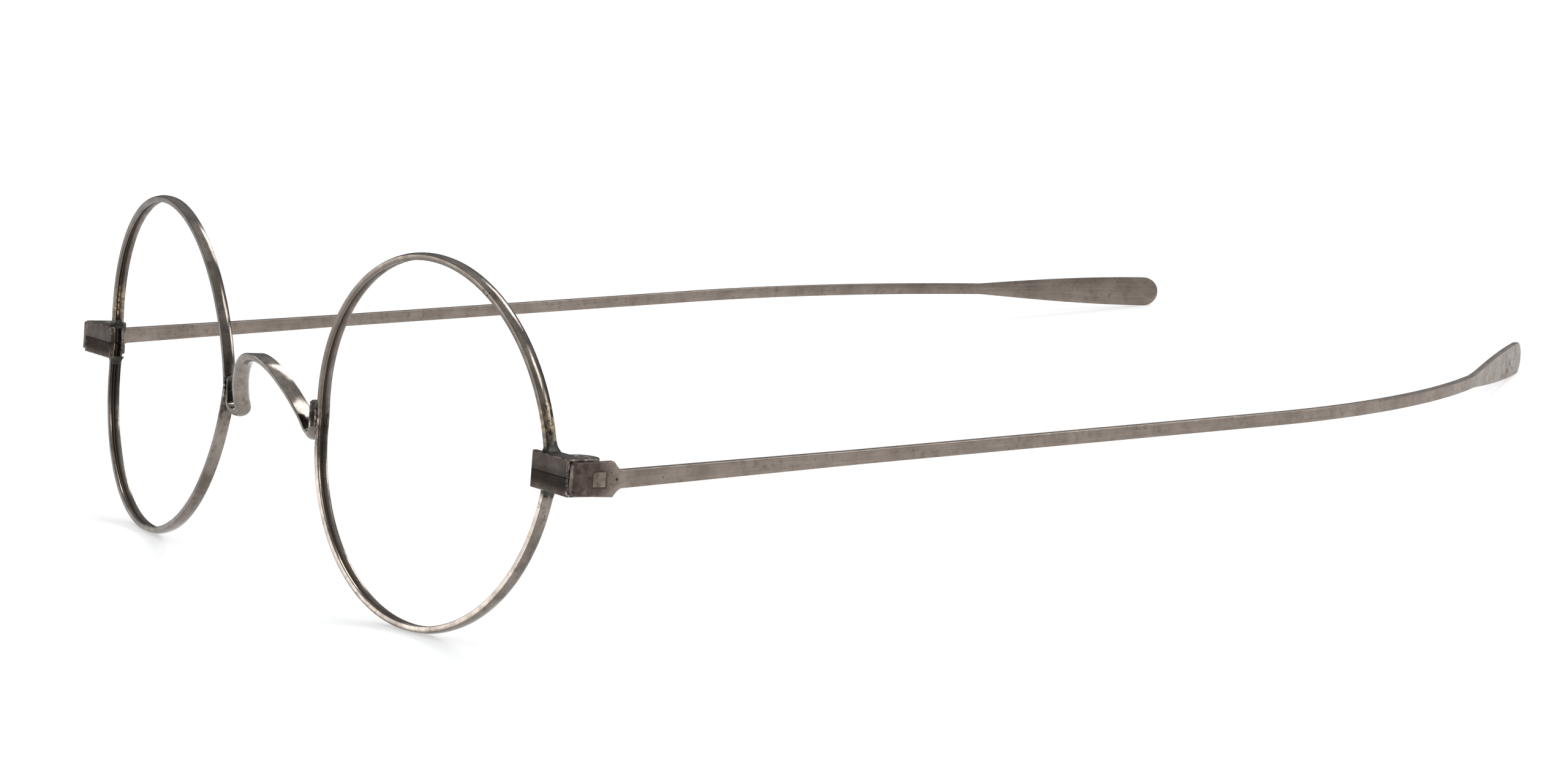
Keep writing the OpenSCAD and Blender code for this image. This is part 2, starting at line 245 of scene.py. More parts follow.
def rounded(corners, steps=4):
    """A closed outline of (x, y, radius) corners with each corner rounded by an arc."""
    outline = []
    count = len(corners)
    side_share = 0.49
    for i, (x, y, radius) in enumerate(corners):
        here = Vector((x, y))
        before = Vector(corners[i - 1][:2]) - here
        after = Vector(corners[(i + 1) % count][:2]) - here
        if radius <= 0:
            outline.append((x, y))
            continue
        reach = min(radius / math.tan(before.angle(after) / 2),
                    before.length * side_share, after.length * side_share)
        start = here + before.normalized() * reach
        end = here + after.normalized() * reach
        for k in range(steps + 1):
            t = k / steps
            p = start * (1 - t) ** 2 + here * 2 * t * (1 - t) + end * t ** 2
            outline.append((p.x, p.y))
    return outline


def paint(piece, layer, values):
    """Stores one number per point, which a material reads by the layer's name."""
    numbers = piece.data.attributes.new(layer, "FLOAT", "POINT")
    for index, value in enumerate(values):
        numbers.data[index].value = value


def smooth_step(t):
    """0 below 0, 1 above 1, and a smooth ramp between."""
    t = max(0.0, min(1.0, t))
    return t * t * (3 - 2 * t)


def seat_piece(piece, body, slot_name, material, *nodes):
    """Gives a piece its material and seats it on its body in place of its CAD nodes; the slot name is not used."""
    piece.data.materials.clear()
    piece.data.materials.append(material)
    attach(piece, body)
    if nodes:
        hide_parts(*nodes)


# Eye wires

def rim_section():
    """Section of the eye wire: distance from the ring's axis, then distance behind its plane."""
    half = WIRE_W / 2
    mouth = GROOVE_W / 2
    floor = GROOVE_FLOOR_W / 2
    shoulder = OUTER_R - WIRE_CROWN
    outer_round, lip_round, mouth_round, floor_round = 0.12, 0.08, 0.06, 0.05
    steps = 6
    crown = [(OUTER_R - WIRE_CROWN * (i / steps) ** 2, i / steps * half, 0)
             for i in range(1 - steps, steps)]
    corners = [(shoulder, -half, outer_round)] + crown + [
        (shoulder, half, outer_round), (LIP_R, half, lip_round), (LIP_R, mouth, mouth_round),
        (SEAT_R, floor, floor_round), (SEAT_R, -floor, floor_round),
        (LIP_R, -mouth, mouth_round), (LIP_R, -half, lip_round)]
    return rounded(corners)


def rim_point(angle, radius, back):
    """Place of a section point on one eye wire; each half of the ring is sprung forward."""
    soften = 0.03
    rise = math.sin(angle)
    ease = math.sqrt(rise * rise + soften * soften)
    turn = RIM_BEND * rise / ease
    local = Vector((
        radius * math.cos(angle),
        back * math.cos(turn) - radius * (ease - soften) * math.sin(RIM_BEND),
        back * math.sin(turn) + radius * rise * math.cos(RIM_BEND)))
    return Matrix.Rotation(RIM_WRAP, 3, "Z") @ local + Vector((RIM_X, 0, 0))


def make_rim(name, side):
    """Grooved ring, split beside the hinge; its front lip carries painted shade everywhere but at the bottom."""
    segments = 480
    groove_fade, margin, lip_margin = 0.12, 0.02, 0.05
    lip_shade_rate, lip_shade_base = 1.5, 0.7
    section = rim_section()
    split = SPLIT_GAP / 2 / OUTER_R
    angles = [split + (2 * math.pi - 2 * split) * i / segments for i in range(segments + 1)]
    rings = [[rim_point(a, r, b) for r, b in section] for a in angles]
    piece = make_object(name + "_wire", *loft(rings), side=side)
    deep = [smooth_step((r - LIP_R) / groove_fade)
            if abs(b) < GROOVE_W / 2 and r < SEAT_R + margin else 0.0 for r, b in section]
    paint(piece, "groove", deep * len(rings))
    lip = [1.0 if b < GROOVE_W / -2 - lip_margin and r < OUTER_R - WIRE_CROWN else 0.0
           for r, b in section]
    # Painted shade on the front lip, strongest in the upper half of the ring
    lip_shade = [smooth_step(math.sin(a) * lip_shade_rate + lip_shade_base) for a in angles]
    paint(piece, "lip_painted_shade", [w * v for w in lip_shade for v in lip])
    seat_piece(piece, "front", "rim_wire", rim_steel(), name)


# Bridge

def bridge_line():
    """One side of the bridge's centre line, from the middle of the arch to the top of a foot."""
    line = []
    arch_steps, curl_steps, foot_steps = 80, 40, 14
    for i in range(arch_steps + 1):
        t = math.radians(90 * (1 - i / arch_steps))
        rise = math.sin(t) ** ARCH_POWER
        line.append(Vector((ARCH_X * math.cos(t), FOOT_Y - ARCH_REACH * rise,
                            CURL_Z + ARCH_RISE * rise)))
    for i in range(1, curl_steps + 1):
        t = math.pi * i / curl_steps
        down = CURL_R * math.sin(t)
        lean = ARCH_REACH / ARCH_RISE * (1 + math.cos(t)) / 2
        line.append(Vector((FOOT_X - CURL_R - CURL_R * math.cos(t), FOOT_Y + lean * down,
                            CURL_Z - down)))
    for i in range(1, foot_steps + 1):
        line.append(Vector((FOOT_X, FOOT_Y, CURL_Z + FOOT_L * i / foot_steps)))
    return eased(line, arch_steps)


def eased(line, join):
    """The same line with the crease at its join smoothed out."""
    reach, passes = 6, 20
    for _ in range(passes):
        line = [(line[i - 1] + p * 2 + line[i + 1]) / 4 if abs(i - join) <= reach else p
                for i, p in enumerate(line)]
    return line


def bridge_section():
    """Half-round section: across the wire, then out from its flat inner face."""
    half = BRIDGE_W / 2
    low = -BRIDGE_T / 2
    edge, fullness = 0.1, 0.75
    dome = [(half * math.cos(a), BRIDGE_T * (math.sin(a) ** fullness - 0.5), 0)
            for a in (math.radians(d) for d in range(10, 171, 8))]
    return rounded([(half, low, edge)] + dome + [(-half, low, edge)])


def make_bridge():
    """Half-round wire swept from foot to foot, with each foot's end filed round."""
    half = bridge_line()
    line = [Vector((-p.x, p.y, p.z)) for p in reversed(half[1:])] + half
    last = len(line) - 1
    round_off, end_size = 0.3, 0.62
    flat = -BRIDGE_T / 2
    run = [0.0]
    for a, b in zip(line, line[1:]):
        run.append(run[-1] + (b - a).length)
    section = bridge_section()
    rings = []
    for i, place in enumerate(line):
        along = (line[min(i + 1, last)] - line[max(i - 1, 0)]).normalized()
        across = (Vector((0, 1, 0)) - along * along.y).normalized()
        out = across.cross(along)
        depth = max(0.0, 1 - min(run[i], run[-1] - run[i]) / round_off)
        shrink = end_size + (1 - end_size) * math.sqrt(max(0.0, 1 - depth * depth))
        rings.append([place + across * x * shrink + out * (flat + (y - flat) * shrink)
                      for x, y in section])
    piece = make_object("bridge_wire", *loft(rings))
    seat_piece(piece, "front", "bridge_wire", bridge_steel(), "bridge")


def make_braze(side_name, side):
    """Two thin runs of braze that join a foot of the bridge to its eye wire."""
    steps, sides = 40, 12
    trim, sunk, proud = 0.1, 0.06, 0.02
    wave_depth, waves = 0.16, 23
    tip_size, taper = 0.1, 0.4
    low, high = CURL_Z + trim, CURL_Z + FOOT_L - trim
    for edge_name, edge in (("front", -1), ("back", 1)):
        rings = []
        for i in range(steps + 1):
            t = i / steps
            angle = math.pi - math.asin((low + (high - low) * t) / OUTER_R)
            middle = rim_point(angle, OUTER_R - sunk, edge * (WIRE_W / 2 + proud))
            ripple = 1 + wave_depth * math.sin(waves * t + edge)
            size = BRAZE_R * ripple * (tip_size + (1 - tip_size) * math.sin(math.pi * t) ** taper)
            rings.append([middle + Vector((size * math.cos(a), size * math.sin(a), 0))
                          for a in (2 * math.pi * k / sides for k in range(sides))])
        piece = make_object("%s_foot_braze_%s" % (side_name, edge_name), *loft(rings), side=side)
        seat_piece(piece, "front", "bridge_wire", braze_metal())


# Solder at the end pieces

def make_solder(side_name, side):
    """Flared collars where the eye wire leaves the end piece, above and below."""
    steps = 14
    sunk, corner = 0.12, 0.2
    flare, flare_power, tuck = 0.26, 2.4, 0.015
    for place_name, start_z, way in (("above", END_TOP_Z - sunk, 1), ("below", END_LOW_Z + sunk, -1)):
        start = math.asin(start_z / MID_R)
        rings = []
        for i in range(steps + 1):
            t = i / steps
            angle = start + way * SOLDER_L / MID_R * t
            spread = flare * (1 - t) ** flare_power - tuck
            half = WIRE_W / 2 + spread
            outline = rounded([(OUTER_R + spread, -half, corner), (OUTER_R + spread, half, corner),
                               (LIP_R - spread, half, corner), (LIP_R - spread, -half, corner)])
            rings.append([rim_point(angle, r, b) for r, b in outline])
        piece = make_object("%s_solder_%s" % (side_name, place_name), *loft(rings), side=side)
        seat_piece(piece, "front", "end_piece_steel", solder_metal())


def make_seam_dirt(side_name, side):
    """Old dirt packed in the front of the seam between the halves of an end piece."""
    inset, back_inset, overfill = 0.04, 0.15, 0.004
    half = SPLIT_GAP / 2 + overfill
    back = FACE_T - back_inset
    start = HINGE_SIDE_X - END_LAP + inset
    ends = [[(x, FACE_Y + y, SEAM_Z + z) for y, z in
             ((inset, -half), (back, -half), (back, half), (inset, half))]
            for x in (start, END_X - inset)]
    piece = make_object(side_name + "_seam_dirt", *loft(ends), side=side)
    seat_piece(piece, "front", "end_piece_steel", packed_dirt())


# Side arms

def arm_station(s):
    """Centre, outward and upward directions of a side arm at a distance s behind the front of its plate."""
    run = s - BUTT_L - SHOULDER_L
    if run <= 0:
        return Vector((ARM_X, BUTT_Y + s, SEAM_Z)), Vector((1, 0, 0)), Vector((0, 0, 1))
    bent = max(0.0, min(run - STRAIGHT_L, EAR_BEND_R * EAR_BEND))
    past = max(0.0, run - STRAIGHT_L - EAR_BEND_R * EAR_BEND)
    heading = bent / EAR_BEND_R
    place = Vector((-EAR_BEND_R * (1 - math.cos(heading)) - past * math.sin(heading),
                    min(run, STRAIGHT_L) + EAR_BEND_R * math.sin(heading) + past * math.cos(heading), 0))
    turn = Matrix.Rotation(FRONT_LEAN - ARM_DROP, 3, "X") @ Matrix.Rotation(-ARM_SPLAY, 3, "Z")
    out = Vector((math.cos(heading), math.sin(heading), 0))
    return turn @ place + Vector((ARM_X, BAR_Y, SEAM_Z)), turn @ out, turn @ Vector((0, 0, 1))


def arm_half_height(s):
    """Half the arm's height at a distance s behind the front of its plate."""
    if s <= BUTT_L:
        front = BUTT_FRONT_H / 2
        corner = 0.25
        cut = corner - math.sqrt(corner ** 2 - (corner - s) ** 2) if s < corner else 0.0
        return front + (BUTT_H / 2 - front) * s / BUTT_L - cut
    if s <= BUTT_L + SHOULDER_L:
        t = (s - BUTT_L) / SHOULDER_L
        hollow = 0.14
        fall = min(1.0, t + hollow * math.sin(math.pi * t))
        return BUTT_H / 2 + (BAR_H_FRONT - BUTT_H) / 2 * fall
    run = s - BUTT_L - SHOULDER_L
    bar = BAR_H_FRONT / 2 + (BAR_H - BAR_H_FRONT) / 2 * min(1.0, run / BAR_TAPER_L)
    into = s - (ARM_L - PADDLE_L)
    widening = PADDLE_L - TIP_R
    if into <= 0:
        return bar
    if into < widening:
        return bar + (PADDLE_H / 2 - bar) * math.sin(math.pi / 2 * into / widening)
    return math.sqrt(max(0.0, TIP_R ** 2 - (into - widening) ** 2))


def arm_stations():
    """Distances along the arm, close together where its outline changes."""
    plate_end = BUTT_L + SHOULDER_L
    tip_start = ARM_L - TIP_R
    ends = [0.0, 0.6, BUTT_L - 0.2, plate_end + 0.4, ARM_L - PADDLE_L - 2, tip_start]
    spacings = [0.04, 0.16, 0.05, 0.8, 0.4]
    tip_steps = 26
    stations = [0.0]
    for start, end, step in zip(ends, ends[1:], spacings):
        count = max(1, round((end - start) / step))
        stations += [start + (end - start) * (k + 1) / count for k in range(count)]
    stations += [tip_start + TIP_R * math.sin(math.pi / 2 * (k + 1) / tip_steps)
                 for k in range(tip_steps)]
    return stations


def arm_section(s):
    """Rounded bar section at a distance s: outward, then upward."""
    least_half, thinning_half, blend_l = 0.02, 0.5, 6
    plate_edge, bar_edge, cut_share = 0.1, 0.12, 0.8
    half = max(least_half, arm_half_height(s))
    into = s - (ARM_L - PADDLE_L)
    thickness = ARM_T + (PADDLE_T - ARM_T) * smooth_step(into / blend_l + 0.5)
    if half < thinning_half:
        thickness *= 0.5 + 0.5 * math.sqrt(half / thinning_half)
    cut = BUTT_ROUND - math.sqrt(BUTT_ROUND ** 2 - (BUTT_ROUND - s) ** 2) if s < BUTT_ROUND else 0.0
    outer = thickness / 2 - cut * cut_share
    inner = -thickness / 2
    edge = min(plate_edge if s < BUTT_L + SHOULDER_L else bar_edge, half * 0.6)
    corners = [(outer, -half), (outer, half), (inner, half), (inner, -half)]
    return rounded([(x, z, edge) for x, z in corners], 5)


def arm_surface(s, height):
    """A place on the outer face of the left arm."""
    centre, out, up = arm_station(s)
    return centre + out * ARM_T / 2 + up * height


def make_temple(name, side, body):
    """Butt plate, bar, curve and paddle in one, with a hole for the tenon."""
    rings = []
    for s in arm_stations():
        centre, out, up = arm_station(s)
        rings.append([centre + out * x + up * z for x, z in arm_section(s)])
    piece = make_object(name + "_arm", *loft(rings), side=side)
    # The outer top corner is marked for wear and painted highlight
    first, last = 7, 10
    wear_and_highlight_corner = [1.0 if first <= j <= last else 0.0 for j in range(len(rings[0]))]
    paint(piece, "wear_and_highlight", wear_and_highlight_corner * len(rings))
    cut_tenon_hole(piece, side)
    seat_piece(piece, body, "arm_steel", arm_steel(), name)


def cut_tenon_hole(piece, side):
    """Cuts the tenon's hole through a butt plate, a little wide so that its edge shows as a line."""
    sharp_angle = math.radians(40)
    reach = TENON_HALF + Vector((ARM_T, TENON_LINE, TENON_LINE))
    corners = [TENON_MIDDLE + Vector((reach.x * x, reach.y * y, reach.z * z))
               for x in (-1, 1) for y in (-1, 1) for z in (-1, 1)]
    faces = [[0, 1, 3, 2], [4, 6, 7, 5], [0, 4, 5, 1], [2, 3, 7, 6], [0, 2, 6, 4], [1, 5, 7, 3]]
    cutter = make_object("cutter", *outward(corners, faces, [[(0, 0)] * 4] * 6), side=side)
    cut = piece.modifiers.new("tenon_hole", "BOOLEAN")
    cut.object = cutter
    cut.solver = "EXACT"
    shaped = piece.evaluated_get(bpy.context.evaluated_depsgraph_get())
    mesh = bpy.data.meshes.new_from_object(shaped)
    piece.modifiers.clear()
    piece.data = mesh
    mesh.set_sharp_from_angle(angle=sharp_angle)
    bpy.data.objects.remove(cutter)


# End pieces, screws and knuckles

def beside_seam(edge):
    """Whether an edge lies along the seam between the halves of an end piece."""
    heights = [(INTO_FRONT @ (v.co / MM)).z - SEAM_Z for v in edge.verts]
    return all(abs(h) < SPLIT_GAP for h in heights)


def bevelled_copy(node, width, segments=3):
    """A copy of a CAD node with its sharp edges rounded; the rounded edges are marked for wear and painted
    highlight.
    """
    weld = 1e-7
    flat_angle, sharp_angle = math.radians(0.6), math.radians(28)
    mesh = frame["nodes"][node].data.copy()
    bm = bmesh.new()
    bm.from_mesh(mesh)
    bmesh.ops.remove_doubles(bm, verts=bm.verts, dist=weld)
    bmesh.ops.dissolve_limit(bm, angle_limit=flat_angle, verts=bm.verts, edges=bm.edges,
                             use_dissolve_boundaries=False)
    wear_and_highlight = bm.faces.layers.float.new("wear_and_highlight")
    sharp = [e for e in bm.edges if len(e.link_faces) == 2 and not beside_seam(e)
             and e.calc_face_angle(0) > sharp_angle]
    rounded_edges = bmesh.ops.bevel(bm, geom=sharp, offset=width * MM, segments=segments, profile=0.5,
                                    affect="EDGES", clamp_overlap=True, miter_outer="ARC")
    for face in rounded_edges["faces"]:
        face[wear_and_highlight] = 1.0
    for face in bm.faces:
        face.smooth = True
    bm.to_mesh(mesh)
    bm.free()
    piece = add_object(node + "_dressed", mesh)
    normals = piece.modifiers.new("even_normals", "WEIGHTED_NORMAL")
    normals.keep_sharp = True
    return piece


def make_hinge(side_name):
    """End piece halves, screw and knuckle of one side."""
    end_round, screw_round, knuckle_round = 0.11, 0.04, 0.05
    for node in (side_name + "_upper_end_piece", side_name + "_lower_end_piece"):
        seat_piece(bevelled_copy(node, end_round, 4), "front", "end_piece_steel", end_steel(), node)
    node = side_name + "_hinge_screw"
    seat_piece(bevelled_copy(node, screw_round), "front", "screw_steel", screw_steel(), node)
    node = side_name + "_temple_knuckle"
    seat_piece(bevelled_copy(node, knuckle_round), side_name + "_arm", "knuckle_steel",
               knuckle_steel(), node)


# Materials

def set_stops(ramp, stops, tint=(1.0, 1.0, 1.0)):
    """Gives a colour ramp its stops of position and grey value, tinted where asked."""
    while len(ramp.elements) < len(stops):
        ramp.elements.new(0.5)
    for element, (position, value) in zip(ramp.elements, stops):
        element.position = position
        element.color = (*(value * t for t in tint), 1)


class Shader:
    """Adds nodes to one material and joins them."""

    def __init__(self, name):
        self.material = bpy.data.materials.new(name)
        self.material.use_nodes = True
        self.tree = self.material.node_tree
        self.tree.nodes.clear()
        self.output = self.add("ShaderNodeOutputMaterial")
        self.surface = self.add("ShaderNodeBsdfPrincipled")
        self.join(self.surface, "BSDF", self.output, "Surface")

    def add(self, kind, **values):
        node = self.tree.nodes.new(kind)
        for key, value in values.items():
            setattr(node, key, value)
        return node

    def join(self, a, out, b, into):
        self.tree.links.new(a.outputs[out], b.inputs[into])

    def feed(self, value, socket):
        """Sets a socket to a number or a colour, or joins a node's result to it."""
        if isinstance(value, (int, float)):
            socket.default_value = value
        elif isinstance(value, tuple):
            socket.default_value = (*value, 1)
        else:
            result = 2 if value.bl_idname == "ShaderNodeMix" else 0
            self.tree.links.new(value.outputs[result], socket)

    def mix(self, a, b, factor):
        node = self.add("ShaderNodeMix", data_type="RGBA")
        self.feed(factor, node.inputs[0])
        self.feed(a, node.inputs[6])
        self.feed(b, node.inputs[7])
        return node

    def math(self, kind, a, b=0.0):
        node = self.add("ShaderNodeMath", operation=kind)
        self.feed(a, node.inputs[0])
        self.feed(b, node.inputs[1])
        return node

    def both(self, a, b):
        return self.math("MULTIPLY", a, b)

    def ramp(self, source, stops):
        """A ramp of grey values over a node's result."""
        node = self.add("ShaderNodeValToRGB")
        set_stops(node.color_ramp, stops)
        self.feed(source, node.inputs["Fac"])
        return node


class Metal(Shader):
    """Worn steel, built up in layers of colour, roughness and height."""

    SEED_STEP = 3.7
    BLOTCH_DETAIL = 5.0
    BLOTCH_ROUGH = 0.62
    DARKER = 0.72
    STREAK_STRETCH = (0.16, 9.0, 1.0)
    STREAK_STOPS = [(0.35, 0.0), (0.75, 1.0)]
    BUMP_DEPTH = 0.014

    def __init__(self, name, pale, dark, roughness, seed, texture=1.0):
        super().__init__(name)
        self.texture = texture
        self.seed = seed
        self.local = self.leaning_place()
        self.sided = self.folded_place()
        self.colour = self.mix(dark, pale, self.blotches(0.28, 0.36, 0.64))
        darker = tuple(self.DARKER * v for v in dark)
        self.colour = self.mix(self.colour, darker, self.blotches(1.3, 0.52, 0.78))
        self.rough = self.mix((roughness[0],) * 3, (roughness[1],) * 3, self.blotches(0.8, 0.3, 0.7))
        self.height = self.both(self.noise(2.6, 5.0, 0.6), 0.5 * texture)

    def leaning_place(self):
        """Place in the front's leaning frame, in millimetres."""
        coords = self.add("ShaderNodeTexCoord")
        node = self.add("ShaderNodeMapping", vector_type="TEXTURE")
        node.inputs["Location"].default_value = (0, -MIDDLE_Y * MM, RIM_Z * MM)
        node.inputs["Rotation"].default_value = (-FRONT_LEAN, 0, 0)
        node.inputs["Scale"].default_value = (MM, MM, MM)
        self.join(coords, "Object", node, "Vector")
        return node

    def folded_place(self):
        """The same place with the right side folded onto the left."""
        parts = self.split(self.local, "Vector")
        whole = self.add("ShaderNodeCombineXYZ")
        self.feed(self.math("ABSOLUTE", parts), whole.inputs["X"])
        self.join(parts, "Y", whole, "Y")
        self.join(parts, "Z", whole, "Z")
        return whole

    def split(self, source, out):
        parts = self.add("ShaderNodeSeparateXYZ")
        self.join(source, out, parts, "Vector")
        return parts

    def noise(self, scale, detail, rough):
        """Noise of a given number of waves per millimetre, different at each call."""
        self.seed += self.SEED_STEP
        shift = self.add("ShaderNodeVectorMath", operation="ADD")
        self.feed(self.local, shift.inputs[0])
        shift.inputs[1].default_value = (self.seed, self.seed * 0.6, -self.seed)
        node = self.add("ShaderNodeTexNoise")
        node.inputs["Scale"].default_value = scale
        node.inputs["Detail"].default_value = detail
        node.inputs["Roughness"].default_value = rough
        self.join(shift, "Vector", node, "Vector")
        return node

    def blotches(self, scale, low, high):
        """Patches of a given number per millimetre, 0 below the low value and 1 above the high one."""
        noise = self.noise(scale, self.BLOTCH_DETAIL, self.BLOTCH_ROUGH)
        return self.ramp(noise, [(low, 0.0), (high, 1.0)])

    def fall(self, source, inner, outer):
        """1 up to the inner value of a source, falling smoothly to 0 at the outer one."""
        node = self.add("ShaderNodeMapRange", interpolation_type="SMOOTHSTEP")
        node.inputs["From Min"].default_value = inner
        node.inputs["From Max"].default_value = outer
        node.inputs["To Min"].default_value = 1.0
        node.inputs["To Max"].default_value = 0.0
        self.feed(source, node.inputs["Value"])
        return node

    def near(self, place, inner, outer, both_sides=True):
        """A round spot about a place in the leaning frame, on both sides or on the left alone."""
        gap = self.add("ShaderNodeVectorMath", operation="DISTANCE")
        self.feed(self.sided if both_sides else self.local, gap.inputs[0])
        gap.inputs[1].default_value = place
        node = self.fall(0.0, inner, outer)
        self.join(gap, "Value", node, "Value")
        return node

    def stored(self, layer):
        """The number that a mesh stores under a layer's name."""
        node = self.add("ShaderNodeAttribute", attribute_name=layer)
        whole = self.math("ADD", 0.0)
        self.join(node, "Fac", whole, 0)
        return whole

    def tenon_outline(self):
        """A thin line round the tenon's end, for dirt in the joint and painted shade round it."""
        offset = self.add("ShaderNodeVectorMath", operation="SUBTRACT")
        self.feed(self.sided, offset.inputs[0])
        offset.inputs[1].default_value = TENON_MIDDLE
        size = self.add("ShaderNodeVectorMath", operation="ABSOLUTE")
        self.join(offset, "Vector", size, 0)
        past = self.add("ShaderNodeVectorMath", operation="SUBTRACT")
        self.join(size, "Vector", past, 0)
        past.inputs[1].default_value = TENON_HALF
        parts = self.split(past, "Vector")
        edge = self.math("MAXIMUM", 0.0)
        self.join(parts, "Y", edge, 0)
        self.join(parts, "Z", edge, 1)
        return self.fall(self.math("ABSOLUTE", edge), 0.06, 0.2)

    def outer_end(self):
        """The strip beside an end piece's outer end."""
        return self.fall(self.math("SUBTRACT", END_X, self.split(self.sided, "Vector")), 0.22, 0.5)

    def layer(self, mask, colour, rough=None, sink=0.0):
        """Lays another finish over the metal where the mask is 1, sunk a little where asked."""
        self.colour = self.mix(self.colour, colour, mask)
        if rough is not None:
            self.rough = self.mix(self.rough, (rough,) * 3, mask)
        if sink:
            self.height = self.math("SUBTRACT", self.height, self.both(mask, sink))

    def streaks(self, amount):
        """Fine drawn lines that follow the wire or the bar."""
        along = self.add("ShaderNodeUVMap", uv_map="along")
        stretch = self.add("ShaderNodeMapping")
        stretch.inputs["Scale"].default_value = self.STREAK_STRETCH
        self.join(along, "UV", stretch, "Vector")
        lines = self.add("ShaderNodeTexNoise")
        lines.inputs["Scale"].default_value = 1.0
        lines.inputs["Detail"].default_value = 4.0
        self.join(stretch, "Vector", lines, "Vector")
        shade = self.ramp(lines, self.STREAK_STOPS)
        self.colour = self.mix(self.colour, DIRT_AND_SHADE, self.both(shade, amount))
        self.height = self.math("ADD", self.height, self.both(lines, 0.5 * self.texture))

    def pits(self, mask, size, spacing):
        """Small round rust pits with ragged edges, where the mask is 1."""
        raggedness, edge_start, edge_end = 0.35, 0.13, 0.2
        cells = self.add("ShaderNodeTexVoronoi")
        cells.inputs["Scale"].default_value = 1 / spacing
        self.join(self.local, "Vector", cells, "Vector")
        ragged = self.math("ADD", cells, self.both(self.noise(3.0, 2.0, 0.5), raggedness))
        spots = self.fall(ragged, size + edge_start, size + edge_end)
        self.layer(self.both(mask, spots), PIT_BROWN, rough=0.7, sink=2.5)

    def finish(self):
        bump = self.add("ShaderNodeBump")
        bump.inputs["Strength"].default_value = 1.0
        bump.inputs["Distance"].default_value = self.BUMP_DEPTH * MM
        self.feed(self.height, bump.inputs["Height"])
        self.join(bump, "Normal", self.surface, "Normal")
        self.surface.inputs["Metallic"].default_value = 1.0
        self.feed(self.colour, self.surface.inputs["Base Color"])
        self.feed(self.rough, self.surface.inputs["Roughness"])
        return self.material


MADE = {}


def once(make):
    """Makes each material a single time."""
    def get():
        if make.__name__ not in MADE:
            MADE[make.__name__] = make()
        return MADE[make.__name__]
    return get


@once
def rim_steel():
    """Eye wire: bright steel with painted shade on the front lip above the bottom, dark in its groove, and darker
    beside the solder with dirt and painted shade.
    """
    m = Metal("rim_steel", pale=(0.31, 0.272, 0.237), dark=(0.15, 0.127, 0.11),
              roughness=(0.09, 0.22), seed=2.0, texture=0.35)
    m.streaks(0.35)
    # Painted shade on the front lip, away from the bottom of the ring
    m.layer(m.both(m.stored("lip_painted_shade"), m.blotches(0.5, 0.2, 0.6)), TARNISH_AND_SHADE, rough=0.3)
    m.layer(m.both(m.stored("groove"), 0.95), DIRT_AND_SHADE, rough=0.5)
    m.layer(m.both(m.near((HINGE_SIDE_X, HINGE_SIDE_Y, END_TOP_Z + 3.2), 0.8, 3.4),
                   m.blotches(1.9, 0.46, 0.6)), BRASS, rough=0.25, sink=0.6)
    # Darker patches beside the end piece: dirt at the joint, and painted shade where the wire leaves the end piece
    m.layer(m.both(m.near((HINGE_SIDE_X, HINGE_SIDE_Y, SEAM_Z), 2.1, 3.3),
                   m.blotches(1.1, 0.35, 0.6)), DIRT_AND_SHADE, rough=0.5)
    m.layer(m.both(m.near((NASAL_X, FOOT_Y, CURL_Z), 1.2, 3.6),
                   m.blotches(1.3, 0.42, 0.62)), DIRT_AND_SHADE, rough=0.5)
    m.pits(m.near(rim_point(PITS_ANGLE, OUTER_R, -0.2), 1.4, 3.4, both_sides=False),
           size=0.24, spacing=0.42)
    m.pits(m.both(m.blotches(0.35, 0.55, 0.6), 0.8),
           size=0.10, spacing=0.6)
    return m.finish()


@once
def bridge_steel():
    """Bridge: the most polished piece, with a few pits and painted shade on its feet."""
    m = Metal("bridge_steel", pale=(0.34, 0.302, 0.268), dark=(0.19, 0.164, 0.143),
              roughness=(0.07, 0.2), seed=5.0, texture=0.4)
    m.streaks(0.25)
    # Painted shade on the middle of each foot, inside the bend of the wire
    m.layer(m.both(m.near((FOOT_X, FOOT_Y, CURL_Z + FOOT_L / 2), 0.9, 1.9),
                   m.blotches(1.2, 0.2, 0.5)), SOOT_AND_SHADE, rough=0.45)
    m.pits(m.both(m.blotches(0.5, 0.54, 0.6), 0.9),
           size=0.12, spacing=0.55)
    return m.finish()


